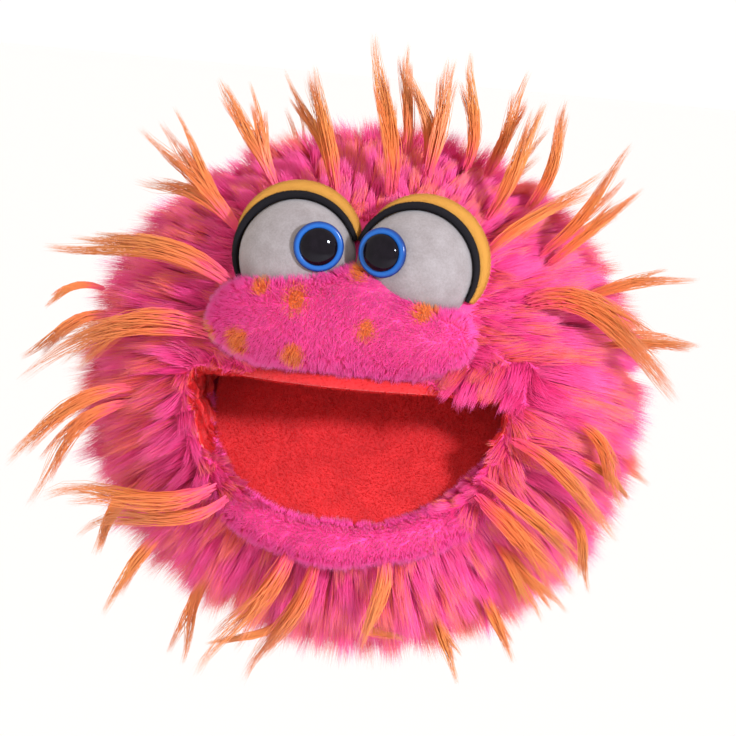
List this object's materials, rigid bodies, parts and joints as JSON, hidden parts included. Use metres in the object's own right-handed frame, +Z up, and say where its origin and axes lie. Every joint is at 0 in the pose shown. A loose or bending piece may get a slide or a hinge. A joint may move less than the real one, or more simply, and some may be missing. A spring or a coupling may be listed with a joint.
{
  "type": "moving mouth puppet",
  "caption": "Round furry hand puppet whose stiffened mouth opens and closes: fingers work the upper face, the thumb works the jaw.",
  "frame": {"origin": "middle of the hand opening, in the plane of the cuff's open rim", "axes": "+Y out of the hand opening, the face looks along -Y, +Z up, +X to the right of someone facing the puppet"},
  "size_m": [0.2567, 0.177, 0.2396],
  "materials": {
    "pink_long_fur": "long pink pile, 22 mm, on a knitted backing",
    "pink_short_plush": "short pink plush with a few orange spots",
    "orange_lock_hair": "coarse long orange hair, slightly glossy",
    "red_plush": "short red plush",
    "white_felt": "white felt over a padded dome",
    "ochre_felt": "ochre felt",
    "black_felt": "black felt",
    "blue_plastic": "glossy blue",
    "black_plastic": "polished black",
    "white_plastic": "natural moulded plastic",
    "fibre_filling": "loose polyester fibre",
    "pocket_cloth": "thin knitted lining cloth",
    "mouth_board": "bendable stiffener board",
    "rib_knit": "rib-knitted cuff",
    "elastic_band": "woven elastic"
  },
  "bodies": {
    "hand_sleeve": {"fold_tape": "red_plush", "back_fur_panel": "pink_long_fur", "crown_stretch_panel": "pink_long_fur", "nape_stretch_panel": "pink_long_fur", "cheek_gusset_left": "pink_long_fur", "cheek_gusset_right": "pink_long_fur", "wrist_cuff": "rib_knit", "cuff_elastic": "elastic_band", "palm_sleeve": "pocket_cloth", "back_lock_01": "orange_lock_hair", "back_lock_02": "orange_lock_hair", "back_lock_03": "orange_lock_hair", "back_lock_04": "orange_lock_hair", "cheek_lock_01": "orange_lock_hair", "cheek_lock_02": "orange_lock_hair"},
    "upper_face": {"palate_lining": "red_plush", "palate_board": "mouth_board", "finger_pocket": "pocket_cloth", "eyeball_left": "white_felt", "lash_band_left": "black_felt", "eyelid_left": "ochre_felt", "iris_left": "blue_plastic", "pupil_left": "black_plastic", "eye_stem_left": "white_plastic", "eye_washer_left": "white_plastic", "eyeball_right": "white_felt", "lash_band_right": "black_felt", "eyelid_right": "ochre_felt", "iris_right": "blue_plastic", "pupil_right": "black_plastic", "eye_stem_right": "white_plastic", "eye_washer_right": "white_plastic", "muzzle": "pink_short_plush", "upper_fur_panel": "pink_long_fur", "head_filling": "fibre_filling", "upper_lock_01": "orange_lock_hair", "upper_lock_02": "orange_lock_hair", "upper_lock_03": "orange_lock_hair", "upper_lock_04": "orange_lock_hair", "upper_lock_05": "orange_lock_hair", "upper_lock_06": "orange_lock_hair", "upper_lock_07": "orange_lock_hair", "upper_lock_08": "orange_lock_hair", "upper_lock_09": "orange_lock_hair", "upper_lock_10": "orange_lock_hair"},
    "lower_jaw": {"mouth_floor_lining": "red_plush", "jaw_board": "mouth_board", "thumb_pocket": "pocket_cloth", "lower_lip_roll": "pink_short_plush", "chin_fur_panel": "pink_long_fur", "chin_filling": "fibre_filling", "chin_lock_01": "orange_lock_hair", "chin_lock_02": "orange_lock_hair", "chin_lock_03": "orange_lock_hair", "chin_lock_04": "orange_lock_hair", "chin_lock_05": "orange_lock_hair", "chin_lock_06": "orange_lock_hair"}
  },
  "joints": [
    {"name": "upper_mouth_fold", "type": "hinge", "parent": "hand_sleeve", "child": "upper_face", "pos_m": [0, -0.098, 0], "axis": [-1, 0, 0], "range_deg": [-22, 12], "deforming": ["crown_stretch_panel", "cheek_gusset_left", "cheek_gusset_right", "cheek_lock_01", "cheek_lock_02"]},
    {"name": "lower_mouth_fold", "type": "hinge", "parent": "hand_sleeve", "child": "lower_jaw", "pos_m": [0, -0.098, 0], "axis": [1, 0, 0], "range_deg": [-22, 12], "deforming": ["nape_stretch_panel", "cheek_gusset_left", "cheek_gusset_right", "cheek_lock_01", "cheek_lock_02"]}
  ]
}
